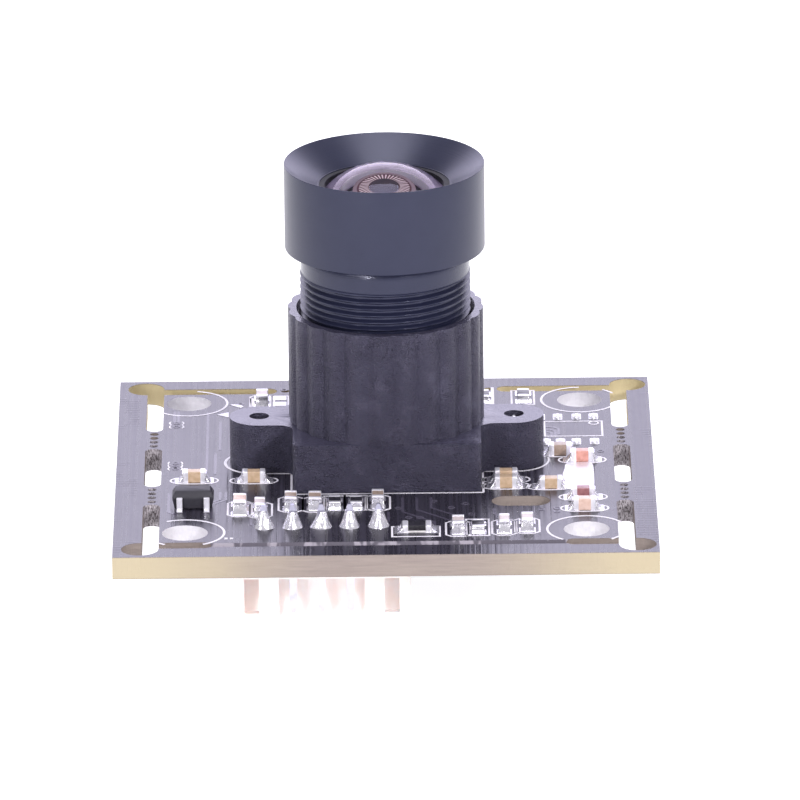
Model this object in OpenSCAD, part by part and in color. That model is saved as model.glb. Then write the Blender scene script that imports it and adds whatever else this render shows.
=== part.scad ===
// Camera module: a screw-in lens in a ribbed holder on a small square board,
// with a wire-to-board header underneath. Millimetres, +Z up.
// The origin is the centre of the mounting-hole pattern on the board's underside.

/* [Board] */
// Side of the square board, snap-off rim included
board_w = 38; // [37.8:0.1:39]
// Thickness of the board
board_t = 1.6; // [1.2:0.1:2]
// Side of the square that stays when the rim is snapped off
core_w = 32; // [31.8:0.1:32.2]
// Distance between the mounting holes, both ways
mount_pitch = 28; // [27.6:0.1:28.1]
// Diameter of the mounting holes
mount_d = 3.2; // [3:0.1:3.3]
// Width of the routed slots between core and rim
slot_w = 1.2; // [1:0.1:1.3]
// Diameter of the relief hole at each corner of the rim
corner_d = 2.6; // [2.4:0.1:2.8]
// Diameter of the perforations that hold the rim
bite_d = 0.6; // [0.4:0.05:0.7]

/* [Holder] */
// Lens axis from the origin, to the right
axis_x = 0.15; // [-0.5:0.05:0.5]
// Lens axis from the origin, to the back
axis_y = 0.85; // [0.5:0.05:1.2]
// Side of the square base block
block_w = 13.25; // [13:0.05:13.6]
// Height of the base block and its ears
block_h = 3.5; // [3.5:0.1:4]
// Distance between the two ear screws
ear_pitch = 18; // [17.8:0.1:18.4]
// Height of the barrel's top above the board
barrel_h = 11.6; // [11:0.1:12.5]
// Diameter over the ribs
rib_d = 13.8; // [13.7:0.05:14]
// Number of ribs round the barrel
rib_count = 24; // [20:1:28]

/* [Lens] */
// Height of the lens front above the board
lens_top = 22.25; // [22.2:0.05:22.6]
// Diameter of the front ring
ring_d = 14.1; // [13.6:0.1:15]
// Length of the front ring
ring_len = 6.15; // [5.9:0.05:6.3]
// Outer diameter of the screw thread
thread_d = 12; // [11.8:0.05:12.05]
// Height of the lens's rear end above the board
lens_foot = 4.4; // [4.4:0.1:4.8]

/* [Header] */
// Number of contacts
pin_count = 5; // [3:1:5]
// Distance between contacts
pin_pitch = 2; // [1.9:0.05:2.1]
// Middle of the contact row, to the right
header_x = -4.5; // [-4.7:0.1:-4]
// Contact row, to the back
header_y = -12.85; // [-13:0.05:-12.6]
// Depth of the header below the board
header_h = 6; // [5.5:0.1:6.5]

/* [Chips] */
// Length of a small capacitor or resistor
chip_len = 1.6; // [1.5:0.05:1.7]
// Width of a small capacitor or resistor
chip_w = 0.85; // [0.7:0.05:0.9]

/* [Hidden] */
$fn = 48;
slide_fit = 0.05;               // radial clearance of the thread in its holder
seat_gap = 0.02;                // clearance round the lens elements
overlap = 0.2;                  // how far joined shapes run into each other

// Board layout
rim_mid = core_w / 2 + slot_w / 2;      // centre line of the rim slots
corner_at = core_w / 2 + 1.3;           // relief holes
rim_shift = 0.2;                        // all the routing sits this far to the right
mid_slot = 8.2;                         // length of the slot in the middle of a side
outer_slot_at = 7.9;                    // where the slots next to the corners begin
front_slot_at = 12.3;                   // the same on the front side
bite_first = 4.72;                      // first perforation
bite_pitch = 0.86;
bites_in_row = 4;
score_w = 0.8;                          // scored line along the front
score_depth = 0.35;
vent_at = [9.5, -7.9];                  // oblong hole beside the holder
vent_len = 4.1;
vent_w = 2.1;
pin_hole_d = 0.9;
screw_hole_d = 1.9;
peg_hole_d = 1.1;

// Holder
ear_r = 2.1;
ear_fillet = 1;
ear_hole_d = 1.4;
block_corner = 0.5;
rib_round = 1.6;                        // radius of each rib's crown
rib_turn = 4;                           // turn of the ribs about the axis
bore_flare = 0.7;                       // lead-in at the bore's mouth, on the diameter
bore_d = thread_d + 2 * slide_fit;
ledge_z = 3.2;                          // top of the ledge under the lens
cavity_w = 11.2;
cavity_h = 2.2;
filter_w = 8.6;
filter_t = 0.3;
filter_play = 0.2;
window_w = 7.4;
peg_d = 1;
peg_len = 1.1;
peg_at = [4.5, 6.1];

// Screws
screw_d = 1.36;
screw_head_d = 3;
screw_head_h = 1;
screw_reach = [2.7, 3.4];               // left and right screw above the board's top
screw_tip = 0.6;

// Lens, radii and heights above the board
ring_z = lens_top - ring_len;
thread_end = 14.33;
neck_r = thread_d / 2 - 0.06;
shoulder = 0.9;                         // height of the neck's rounded shoulder
hood_r = 4.7;                           // inner edge of the hood's cone
hood_z = lens_top - 1.6;
front_bore_r = 4.6;
front_seat_z = 18.4;
throat_r = 3.1;
second_seat_z = 17;
mid_bore_r = 3.6;
rear_seat_z = 9.6;
rear_bore_r = 4.4;
clear_r = 2.9;                          // free radius of the lenses in the mid bore
second_low = 15.2;
third_high = 12.8;
third_low = 10.6;
rear_low = 6.6;
stop_r = 1.6;
front_dome_r = 5.7;
front_edge_z = 20.25;

// Header
header_d = 4.5;
header_front = 2.25;                    // from the contact row to the front face
header_w = (pin_count - 1) * pin_pitch + 4.4;
header_wall = 0.65;
header_base = 1.5;
mouth_w = 6;                            // opening in the front wall
key_w = 1.03;                           // keying slots on each side of it
key_at = 4.9;
key_low = 4.03;
pin_w = 0.5;
pin_low = 4.75;
pin_up = 1.65;                          // reach above the board's top
solder_r = 0.72;
solder_h = 1.25;

// Sensor
sensor_w = 7.6;
sensor_l = 6.4;
sensor_h = 0.85;
sensor_pads = 0.08;
cover_t = 0.4;

// Small parts on the top: [x, y, turn, length, width, height]
CAPACITORS = [
    [-13.45, -2.90, 0, chip_len, chip_w, 0.8],
    [-9.25, -3.00, 0, chip_len, chip_w, 0.8],
    [-10.20, -9.05, 90, chip_len + 0.2, 0.95, 0.9],
    [-8.80, -9.35, 90, chip_len, 0.75, 0.75],
    [-6.64, -8.20, 90, chip_len, chip_w, 0.8],
    [-4.94, -8.30, 90, chip_len, 0.9, 0.8],
    [-0.53, -8.05, 90, chip_len, chip_w, 0.8],
    [5.05, -13.70, 90, chip_len, chip_w, 0.8],
    [8.26, -13.55, 90, chip_len, 0.75, 0.8],
    [9.87, -13.25, 90, chip_len, chip_w, 0.8],
    [8.52, -3.35, 0, chip_len, chip_w, 0.8],
    [8.50, -4.72, 0, chip_len, chip_w, 0.8],
    [11.66, -4.95, 0, chip_len, chip_w, 0.75],
    [12.42, 2.15, 0, chip_len, chip_w, 0.8],
    [13.96, 0.75, 0, chip_len, chip_w, 0.8],
    [13.88, -7.25, 0, chip_len, chip_w, 0.8],
    [13.94, -9.62, 0, chip_len, chip_w, 0.85],
    [-8.75, 14.10, 90, chip_len, chip_w, 0.8]
];
RESISTORS = [
    [-3.55, -8.30, 90, chip_len, chip_w, 0.45],
    [-2.05, -8.35, 90, chip_len, chip_w, 0.45],
    [6.43, -13.60, 90, chip_len, chip_w, 0.45],
    [2.17, -13.80, 0, 2, 1.25, 0.5],
    [7.10, 14.50, 90, chip_len, chip_w, 0.45],
    [9.98, 14.60, 90, chip_len, chip_w, 0.45]
];
// Capacitors on the underside: [x, y, turn]
UNDER_CAPACITORS = [
    [-6.4, 3.6, 90], [-6.4, -1.4, 90], [5.6, 3.4, 90], [5.6, 0.6, 90],
    [-2.6, 7.2, 0], [0.6, 7.2, 0], [2.2, -5.2, 0], [-1.2, -5.2, 0]
];
termination = 0.35;                     // end caps of a chip part
chip_edge = 0.04;                       // how far the end caps stand proud

// Five-legged regulator on the top, two legs to the front
regulator_at = [-13.47, -8.41];
regulator_w = 2.9;
regulator_l = 1.6;
regulator_h = 1.38;
regulator_mid = 0.9;                    // height of the parting line
regulator_slope = 0.25;                 // how far its upper sides lean in
regulator_span = 2.8;
leg_pitch = 0.95;
leg_w = 0.42;
leg_t = 0.15;
leg_foot = 0.3;                         // flat length of a leg's foot
body_draft = 0.1;                       // how far a moulded body's lower sides lean in

// Chips on the underside
processor_at = [-0.5, 1];
processor_w = 9;
processor_t = 0.85;
memory_at = [-10.2, 8];
memory_w = 3.9;
memory_l = 4.9;
memory_t = 1.5;
memory_mid = 0.75;
memory_slope = 0.1;
memory_span = 6;
memory_pitch = 1.27;
crystal_at = [9.4, 6.8];
crystal_l = 3.2;
crystal_w = 2.5;
crystal_t = 0.75;

// ---------- shared shapes ----------

// Oblong with round ends, along X
module oblong(length, width) {
    square([length - width, width], center = true);
    for (side = [-1, 1])
        translate([side * (length - width) / 2, 0])
            circle(d = width);
}

// Rectangle with rounded corners
module rounded_rect(w, l, r) {
    square([w - 2 * r, l], center = true);
    square([w, l - 2 * r], center = true);
    for (sx = [-1, 1], sy = [-1, 1])
        translate([sx * (w / 2 - r), sy * (l / 2 - r)])
            circle(r);
}

// Flat ring between two heights
module collar(outer_r, inner_r, low, high) {
    translate([0, 0, low])
        linear_extrude(high - low)
            difference() {
                circle(outer_r);
                circle(inner_r);
            }
}

module on_board() {
    translate([0, 0, board_t])
        children();
}

module on_axis() {
    translate([axis_x, axis_y, board_t])
        children();
}

function pin_x(i) = header_x + (i - (pin_count + 1) / 2) * pin_pitch;

// ---------- board ----------

// One side's slots and perforations, drawn for the back side
module rim_line() {
    translate([0, rim_mid]) {
        oblong(mid_slot, slot_w);
        for (side = [-1, 1]) {
            translate([side * (outer_slot_at + corner_at) / 2, 0])
                oblong(corner_at - outer_slot_at, slot_w);
            for (k = [0 : bites_in_row - 1])
                translate([side * (bite_first + k * bite_pitch), 0])
                    circle(d = bite_d, $fn = 16);
        }
    }
}

// The front side has slots only near its corners
module front_line() {
    for (side = [-1, 1])
        translate([side * (front_slot_at + corner_at) / 2, -rim_mid])
            oblong(corner_at - front_slot_at, slot_w);
}

// V grooves, top and bottom, between the two front slots
module score_lines() {
    groove = [[-score_w / 2, 0.1], [-score_w / 2, 0], [0, -score_depth],
              [score_w / 2, 0], [score_w / 2, 0.1]];
    length = 2 * front_slot_at + slot_w;
    for (under = [0, 1])
        translate([rim_shift, -rim_mid, under ? 0 : board_t])
            mirror([0, 0, under])
                rotate([90, 0, 90])
                    linear_extrude(length, center = true)
                        polygon(groove);
}

module board_face() {
    difference() {
        square(board_w, center = true);
        translate([rim_shift, 0]) {
            for (turn = [0, 90, 270])
                rotate(turn)
                    rim_line();
            front_line();
            for (sx = [-1, 1], sy = [-1, 1])
                translate([sx * corner_at, sy * corner_at])
                    circle(d = corner_d);
        }
        for (sx = [-1, 1], sy = [-1, 1])
            translate([sx * mount_pitch / 2, sy * mount_pitch / 2])
                circle(d = mount_d);
        translate(vent_at)
            oblong(vent_len, vent_w);
        for (i = [1 : pin_count])
            translate([pin_x(i), header_y])
                circle(d = pin_hole_d, $fn = 24);
        translate([axis_x, axis_y])
            for (side = [-1, 1]) {
                translate([side * ear_pitch / 2, 0])
                    circle(d = screw_hole_d);
                translate([side * peg_at.x, side * peg_at.y])
                    circle(d = peg_hole_d);
            }
    }
}

module circuit_board() {
    color("#3a3644")
        difference() {
            linear_extrude(board_t)
                board_face();
            score_lines();
        }
}

// ---------- lens holder ----------

// Base block with its two ears, each run into the block by concave fillets
module base_face() {
    rounded_rect(block_w, block_w, block_corner);
    for (side = [0, 1])
        mirror([side, 0]) {
            translate([ear_pitch / 2, 0])
                circle(ear_r);
            translate([block_w / 2 - overlap, -ear_r])
                square([(ear_pitch - block_w) / 2 + overlap, 2 * ear_r]);
            for (front = [0, 1])
                mirror([0, front])
                    translate([block_w / 2, ear_r])
                        difference() {
                            translate([-overlap, -overlap])
                                square(ear_fillet + overlap);
                            translate([ear_fillet, ear_fillet])
                                circle(ear_fillet);
                        }
        }
}

// Barrel whose ribs have round crowns that meet in sharp grooves
module rib_face() {
    crown_at = rib_d / 2 - rib_round;
    circle(crown_at);
    for (i = [0 : rib_count - 1])
        rotate((i + 0.5) * 360 / rib_count + rib_turn)
            translate([crown_at, 0])
                circle(rib_round, $fn = 40);
}

// Thread bore with a lead-in, ledge with its window, filter recess and sensor cavity
module holder_hollow() {
    translate([0, 0, ledge_z])
        cylinder(d = bore_d, h = barrel_h, $fn = 96);
    translate([0, 0, barrel_h - 0.35])
        cylinder(d1 = bore_d, d2 = bore_d + bore_flare, h = 0.5, $fn = 96);
    linear_extrude(ledge_z + 1)
        rounded_rect(window_w, window_w, 0.6);
    linear_extrude(cavity_h + filter_t)
        rounded_rect(filter_w + filter_play, filter_w + filter_play, 0.1);
    translate([0, 0, -1])
        linear_extrude(cavity_h + 1)
            rounded_rect(cavity_w, cavity_w, 0.8);
    for (side = [-1, 1])
        translate([side * ear_pitch / 2, 0, -1])
            cylinder(d = ear_hole_d, h = block_h + 2, $fn = 32);
}

module lens_holder() {
    color("#26242c")
        on_axis() {
            difference() {
                union() {
                    linear_extrude(block_h)
                        base_face();
                    translate([0, 0, overlap])
                        cylinder(r = rib_d / 2 - rib_round, h = block_h);
                    translate([0, 0, block_h])
                        linear_extrude(barrel_h - block_h)
                            rib_face();
                }
                holder_hollow();
            }
            for (side = [-1, 1])
                translate([side * peg_at.x, side * peg_at.y, -peg_len])
                    cylinder(d = peg_d, h = peg_len + overlap, $fn = 24);
        }
}

// Pan-head screw from below, with a cross recess and a pointed tip
module holder_screw(side) {
    end = board_t + screw_reach[side < 0 ? 0 : 1];
    color("#b9bcc4")
        translate([axis_x + side * ear_pitch / 2, axis_y, 0])
            difference() {
                rotate_extrude()
                    polygon([
                        [0, -screw_head_h], [screw_head_d / 2 - 0.45, -screw_head_h],
                        [screw_head_d / 2 - 0.12, -screw_head_h + 0.2],
                        [screw_head_d / 2, -0.4], [screw_head_d / 2, 0],
                        [screw_d / 2, 0], [screw_d / 2, end - screw_tip], [0, end]
                    ]);
                for (turn = [0, 90])
                    rotate(turn)
                        translate([-0.85, -0.2, -screw_head_h - 0.1])
                            cube([1.7, 0.4, 0.6]);
            }
}

module holder_screw_left() { holder_screw(-1); }
module holder_screw_right() { holder_screw(1); }

// ---------- lens ----------

// Turned in one piece: rear thread, neck, front ring and the hood's cone
module lens_barrel() {
    r = thread_d / 2;
    color("#45454f")
        on_axis()
            rotate_extrude($fn = 96)
                polygon([
                    [rear_bore_r, lens_foot], [r - 0.45, lens_foot],
                    [r, lens_foot + 0.45], [r, thread_end],
                    [neck_r, thread_end + 0.1], [neck_r, ring_z - shoulder],
                    [neck_r - 0.1, ring_z - 0.5], [neck_r - 0.35, ring_z - 0.15],
                    [neck_r - 0.35, ring_z],
                    [ring_d / 2 - 0.3, ring_z], [ring_d / 2, ring_z + 0.3],
                    [ring_d / 2, lens_top - 0.1], [ring_d / 2 - 0.1, lens_top],
                    [hood_r, hood_z], [front_bore_r, hood_z],
                    [front_bore_r, front_seat_z], [throat_r, front_seat_z],
                    [throat_r, second_seat_z], [mid_bore_r, second_seat_z],
                    [mid_bore_r, rear_seat_z], [rear_bore_r, rear_seat_z]
                ]);
}

// Domed front lens with a hollow back and a flat edge to seat on
module front_element() {
    edge_r = front_bore_r - seat_gap;
    crown_r = 4.15;
    dome_low = sqrt(pow(front_dome_r, 2) - pow(crown_r, 2));
    hollow_r = 4.4;
    color("#6b5f86")
        on_axis()
            difference() {
                union() {
                    translate([0, 0, front_seat_z + seat_gap])
                        cylinder(r = edge_r, h = front_edge_z - 0.2 - front_seat_z, $fn = 96);
                    intersection() {
                        translate([0, 0, front_edge_z - dome_low])
                            sphere(front_dome_r, $fn = 96);
                        translate([0, 0, front_seat_z + 1])
                            cylinder(r = crown_r, h = 6, $fn = 96);
                    }
                }
                translate([0, 0, front_seat_z - hollow_r + 1.1])
                    sphere(hollow_r, $fn = 64);
            }
}

module front_retaining_ring() {
    color("#2a2a32")
        on_axis()
            collar(front_bore_r, 4.2, front_edge_z - 0.15, front_edge_z + 0.35);
}

// Round lens with a flat rim; a face's rise is above zero when it is domed, below when hollow
module round_lens(edge_r, face_r, low, high, low_rise, high_rise) {
    difference() {
        union() {
            translate([0, 0, low])
                cylinder(r = edge_r, h = high - low, $fn = 64);
            if (high_rise > 0)
                translate([0, 0, high])
                    cap(face_r, high_rise);
            if (low_rise > 0)
                translate([0, 0, low])
                    mirror([0, 0, 1])
                        cap(face_r, low_rise);
        }
        if (high_rise < 0)
            translate([0, 0, high])
                mirror([0, 0, 1])
                    cap(face_r, -high_rise);
        if (low_rise < 0)
            translate([0, 0, low])
                cap(face_r, -low_rise);
    }
}

// Sphere cap of a given base radius and rise, standing on Z = 0
module cap(base_r, rise) {
    ball_r = (pow(base_r, 2) + pow(rise, 2)) / (2 * rise);
    intersection() {
        translate([0, 0, rise - ball_r])
            sphere(ball_r, $fn = 64);
        translate([0, 0, -0.001])
            cylinder(r = base_r + 1, h = rise + 1, $fn = 64);
    }
}

module second_element() {
    color("#8f8bb0")
        on_axis()
            round_lens(mid_bore_r - seat_gap, clear_r, second_low,
                       second_seat_z - seat_gap, 0.5, -0.5);
}

// Blackened tube that spaces two lenses and carries the aperture stop
module aperture_spacer() {
    color("#1c1c22")
        on_axis() {
            collar(mid_bore_r - seat_gap, clear_r, third_high, second_low);
            collar(clear_r + overlap, stop_r, third_high + 0.8, third_high + 1.1);
        }
}

module third_element() {
    color("#8f8bb0")
        on_axis()
            round_lens(mid_bore_r - seat_gap, clear_r, third_low, third_high, 0.6, 0.4);
}

module rear_spacer() {
    color("#1c1c22")
        on_axis()
            collar(mid_bore_r - seat_gap, clear_r, rear_seat_z - seat_gap, third_low);
}

module rear_element() {
    color("#8f8bb0")
        on_axis()
            round_lens(rear_bore_r - seat_gap, clear_r, rear_low,
                       rear_seat_z - seat_gap, -0.5, 0.3);
}

// Threaded ring that holds the whole stack from behind
module rear_retaining_ring() {
    color("#2a2a32")
        on_axis()
            collar(rear_bore_r - seat_gap, clear_r + 0.5, lens_foot + 0.4, rear_low);
}

// ---------- sensor ----------

module infrared_filter() {
    color("#7fb7c9")
        on_axis()
            translate([-filter_w / 2, -filter_w / 2, cavity_h])
                cube([filter_w, filter_w, filter_t]);
}

// Leadless package; the thin slab under it stands for its solder pads
module image_sensor() {
    color("#3b3b3f")
        on_axis() {
            translate([-sensor_w / 2 + 0.3, -sensor_l / 2 + 0.3, 0])
                cube([sensor_w - 0.6, sensor_l - 0.6, sensor_h]);
            translate([-sensor_w / 2, -sensor_l / 2, sensor_pads])
                cube([sensor_w, sensor_l, sensor_h - sensor_pads]);
        }
}

module sensor_cover_glass() {
    color("#a8c6cf")
        on_axis()
            translate([-sensor_w / 2 + 0.3, -sensor_l / 2 + 0.3, sensor_h])
                cube([sensor_w - 0.6, sensor_l - 0.6, cover_t]);
}

// ---------- header ----------

// Shrouded header, mouth down: a wide gap and two keying slots in its front wall
module header_housing() {
    front = header_y - header_front;
    color("#f4ebe2")
        difference() {
            translate([header_x - header_w / 2, front, -header_h])
                cube([header_w, header_d, header_h]);
            translate([header_x - header_w / 2 + header_wall, front + header_wall, -header_h - 1])
                cube([header_w - 2 * header_wall, header_d - 2 * header_wall,
                      header_h + 1 - header_base]);
            translate([header_x - mouth_w / 2, front - 1, -header_h - 1])
                cube([mouth_w, 1 + header_wall + overlap, header_h + 1 - header_base]);
            for (side = [-1, 1])
                translate([header_x + side * key_at - key_w / 2, front - 1, -key_low])
                    cube([key_w, 1 + header_wall + overlap, key_low - header_base]);
            for (side = [-1, 1])
                mouth_chamfer(side, front);
            for (i = [1 : pin_count])
                translate([pin_x(i) - pin_w / 2, header_y - pin_w / 2, -header_base - 1])
                    cube([pin_w, pin_w, header_base + 2]);
        }
}

// Small chamfer on the outer bottom edge of each end wall
module mouth_chamfer(side, front) {
    translate([header_x + side * header_w / 2, front - 1, -header_h])
        rotate([-90, 0, 0])
            linear_extrude(header_d + 2)
                polygon([[-side * 0.2, 0.5], [side * 0.5, 0.5],
                         [side * 0.5, -1], [0, -1]]);
}

// Square contact with a four-sided point at each end
module header_pin(i) {
    color("#c9ccd6")
        translate([pin_x(i), header_y, 0]) {
            translate([-pin_w / 2, -pin_w / 2, -pin_low + 0.4])
                cube([pin_w, pin_w, pin_low + board_t + pin_up - 0.8]);
            translate([0, 0, board_t + pin_up - 0.4])
                pin_point();
            translate([0, 0, -pin_low + 0.4])
                mirror([0, 0, 1])
                    pin_point();
        }
}

module pin_point() {
    rotate(45)
        cylinder(d1 = pin_w * sqrt(2), d2 = pin_w * sqrt(2) / 2, h = 0.4, $fn = 4);
}

// Concave cone of solder round the contact, on the board's top, with its plug in the hole
module solder_joint(i) {
    color("#d9dbe3")
        translate([pin_x(i), header_y, 0])
            difference() {
                rotate_extrude($fn = 32)
                    polygon([
                        [0, 0.3], [pin_hole_d / 2, 0.3], [pin_hole_d / 2, board_t],
                        [solder_r, board_t], [0.6, board_t + 0.12],
                        [0.5, board_t + 0.4], [0.42, board_t + 0.8],
                        [0.37, board_t + solder_h], [0, board_t + solder_h]
                    ]);
                translate([-pin_w / 2, -pin_w / 2, -1])
                    cube([pin_w, pin_w, board_t + 4]);
            }
}

// ---------- small parts ----------

// Block with proud metal ends, lying along X
module chip(length, width, height) {
    body_l = length - 2 * termination;
    translate([-body_l / 2 - overlap, -width / 2 + chip_edge, 0])
        cube([body_l + 2 * overlap, width - 2 * chip_edge, height - chip_edge]);
    for (side = [0, 1])
        mirror([side, 0, 0])
            translate([body_l / 2, -width / 2, 0])
                cube([termination, width, height]);
}

module placed_chip(spec) {
    on_board()
        translate([spec[0], spec[1], 0])
            rotate(spec[2])
                chip(spec[3], spec[4], spec[5]);
}

module capacitor(i) { color("#cbb294") placed_chip(CAPACITORS[i - 1]); }
module resistor(i) { color("#2e2c35") placed_chip(RESISTORS[i - 1]); }

module underside_capacitors() {
    color("#cbb294")
        for (spot = UNDER_CAPACITORS)
            translate([spot[0], spot[1], 0])
                rotate(spot[2])
                    mirror([0, 0, 1])
                        chip(chip_len, chip_w, 0.8);
}

// Moulded body: a flat band as thick as the legs, with sloping sides above and below it
module moulded_body(w, l, low, mid, high, slope) {
    band = leg_t / 2;
    rotate([90, 0, 90])
        linear_extrude(w, center = true)
            polygon([
                [-l / 2 + body_draft, low], [l / 2 - body_draft, low],
                [l / 2, mid - band], [l / 2, mid + band],
                [l / 2 - slope, high], [-l / 2 + slope, high],
                [-l / 2, mid + band], [-l / 2, mid - band]
            ]);
}

// Gull-wing leg that leaves the body at height mid and ends in a flat foot, along +Y
module gull_leg(body_half, reach, mid) {
    knee = body_half + leg_t;
    top = mid + leg_t / 2;
    rotate([90, 0, 90])
        linear_extrude(leg_w, center = true)
            polygon([
                [body_half, top], [knee + leg_t, top], [reach - leg_foot, leg_t],
                [reach, leg_t], [reach, 0], [reach - leg_foot - leg_t, 0],
                [knee, top - leg_t], [body_half, top - leg_t]
            ]);
}

module regulator_body() {
    color("#4a4856")
        on_board()
            translate(regulator_at)
                moulded_body(regulator_w, regulator_l, 0.1, regulator_mid,
                             regulator_h, regulator_slope);
}

module regulator_legs() {
    color("#d9dbe3")
        on_board()
            translate(regulator_at) {
                for (k = [-1, 1])
                    translate([k * leg_pitch, 0, 0])
                        rotate(180)
                            gull_leg(regulator_l / 2, regulator_span / 2, regulator_mid);
                for (k = [-1 : 1])
                    translate([k * leg_pitch, 0, 0])
                        gull_leg(regulator_l / 2, regulator_span / 2, regulator_mid);
            }
}

module image_processor() {
    color("#2c2b31")
        translate([processor_at.x, processor_at.y, -processor_t])
            linear_extrude(processor_t)
                rounded_rect(processor_w, processor_w, 0.15);
}

module memory_chip_body() {
    color("#2c2b31")
        translate(memory_at)
            rotate(90)
                mirror([0, 0, 1])
                    moulded_body(memory_l, memory_w, 0.1, memory_mid, memory_t,
                                 memory_slope);
}

module memory_chip_legs() {
    color("#d9dbe3")
        translate(memory_at)
            rotate(90)
                mirror([0, 0, 1])
                    for (turn = [0, 180], k = [-1.5 : 1.5])
                        rotate(turn)
                            translate([k * memory_pitch, 0, 0])
                                gull_leg(memory_w / 2, memory_span / 2, memory_mid);
}

// Seam-sealed metal can on a ceramic base
module crystal_can() {
    color("#c6c8cf")
        translate([crystal_at.x, crystal_at.y, 0])
            mirror([0, 0, 1]) {
                linear_extrude(crystal_t - 0.25)
                    rounded_rect(crystal_w, crystal_l, 0.15);
                linear_extrude(crystal_t)
                    rounded_rect(crystal_w - 0.3, crystal_l - 0.3, 0.3);
            }
}

// ---------- nodes ----------

circuit_board();
lens_holder();
holder_screw_left();
holder_screw_right();
lens_barrel();
front_element();
front_retaining_ring();
second_element();
aperture_spacer();
third_element();
rear_spacer();
rear_element();
rear_retaining_ring();
infrared_filter();
image_sensor();
sensor_cover_glass();
header_housing();
regulator_body();
regulator_legs();
image_processor();
memory_chip_body();
memory_chip_legs();
crystal_can();
underside_capacitors();
for (i = [1 : pin_count])
    header_pin(i);
for (i = [1 : pin_count])
    solder_joint(i);
for (i = [1 : len(CAPACITORS)])
    capacitor(i);
for (i = [1 : len(RESISTORS)])
    resistor(i);
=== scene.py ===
"""Looks of the board camera: its screw-in lens, ribbed holder, small board and header.

Shapes are worked out in millimetres in the frame's own axes, and written in metres.
"""
import math

import bmesh
import bpy
import numpy as np
from mathutils import Matrix, Vector


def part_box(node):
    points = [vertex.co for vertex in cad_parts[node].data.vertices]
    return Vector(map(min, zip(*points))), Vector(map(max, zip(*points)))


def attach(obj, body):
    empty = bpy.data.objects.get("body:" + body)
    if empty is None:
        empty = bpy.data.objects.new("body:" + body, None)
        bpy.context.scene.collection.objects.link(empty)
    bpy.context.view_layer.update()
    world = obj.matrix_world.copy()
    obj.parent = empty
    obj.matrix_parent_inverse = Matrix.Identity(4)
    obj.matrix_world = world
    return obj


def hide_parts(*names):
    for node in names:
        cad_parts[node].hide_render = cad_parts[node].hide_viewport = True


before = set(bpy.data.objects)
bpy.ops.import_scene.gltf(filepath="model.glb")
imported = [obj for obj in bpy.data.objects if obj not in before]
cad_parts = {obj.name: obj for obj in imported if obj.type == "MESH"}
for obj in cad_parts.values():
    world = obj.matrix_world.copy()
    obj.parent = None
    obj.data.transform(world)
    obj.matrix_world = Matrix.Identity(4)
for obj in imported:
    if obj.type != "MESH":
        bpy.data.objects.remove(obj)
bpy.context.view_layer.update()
MM = 0.001
TAU = 2 * math.pi


def corners(node):
    """Lowest and highest corner of a CAD node, in millimetres."""
    low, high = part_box(node)
    return np.array(low) / MM, np.array(high) / MM


board_low, board_high = corners("circuit_board")
barrel_low, barrel_high = corners("lens_barrel")
BOARD_TOP = board_high[2]
BOARD_UNDER = board_low[2]
AXIS = (barrel_low[:2] + barrel_high[:2]) / 2
LENS_TOP = barrel_high[2]

FRONT_RIM = corners("front_retaining_ring")[0][2]
REAR_CROWN = BOARD_TOP + 19.5
# How many pale ticks are painted behind the front glass, as painted reflections of the inner thread.
THREAD_GLINT_COUNT = 44
HOLE_AT = 14.0
PLATED_REACH = 2.8

# ---------------------------------------------------------------- camera, floor, light

CAMERA_AZIMUTH = math.radians(-0.112)
CAMERA_ELEVATION = math.radians(18.751)
CAMERA_ROLL = math.radians(-0.571)
CAMERA_DISTANCE = 0.90885
CAMERA_AIM = Vector((0.001108, 0.0, BOARD_TOP * MM + 0.00487))
CAMERA_LENS = 579.45


def aim_camera():
    """Stands the camera at its distance along the line of sight, then rolls it about that line."""
    back = Vector((math.sin(CAMERA_AZIMUTH) * math.cos(CAMERA_ELEVATION),
                   -math.cos(CAMERA_AZIMUTH) * math.cos(CAMERA_ELEVATION),
                   math.sin(CAMERA_ELEVATION)))
    level = (-back).cross(Vector((0, 0, 1))).normalized()
    upright = level.cross(-back)
    right = level * math.cos(CAMERA_ROLL) + upright * math.sin(CAMERA_ROLL)
    up = upright * math.cos(CAMERA_ROLL) - level * math.sin(CAMERA_ROLL)
    lens = bpy.data.cameras.new("studio_camera")
    lens.sensor_width = 36
    lens.lens = CAMERA_LENS
    lens.clip_start = 0.01
    lens.clip_end = 20
    camera = bpy.data.objects.new("studio_camera", lens)
    camera.matrix_world = Matrix.Translation(CAMERA_AIM + back * CAMERA_DISTANCE) @ Matrix(
        (right, up, back)).transposed().to_4x4()
    bpy.context.scene.collection.objects.link(camera)
    bpy.context.scene.camera = camera


def studio_place(azimuth, elevation, distance):
    """A point in the studio, by its angle from the camera's side and its height angle, in degrees."""
    side, rise = math.radians(azimuth), math.radians(elevation)
    return (distance * math.sin(side) * math.cos(rise), -distance * math.cos(side) * math.cos(rise),
            distance * math.sin(rise))


def softbox(name, place, target, size, watts, tint):
    """A flat rectangular lamp that faces its target."""
    lamp = bpy.data.lights.new(name, "AREA")
    lamp.shape = "RECTANGLE"
    lamp.size, lamp.size_y = size
    lamp.energy = watts
    lamp.color = tint
    box = bpy.data.objects.new(name, lamp)
    toward = Vector(place) - Vector(target)
    box.matrix_world = Matrix.Translation(place) @ toward.to_track_quat("Z", "Y").to_matrix().to_4x4()
    bpy.context.scene.collection.objects.link(box)


# ---------------------------------------------------------------- finishes


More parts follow.
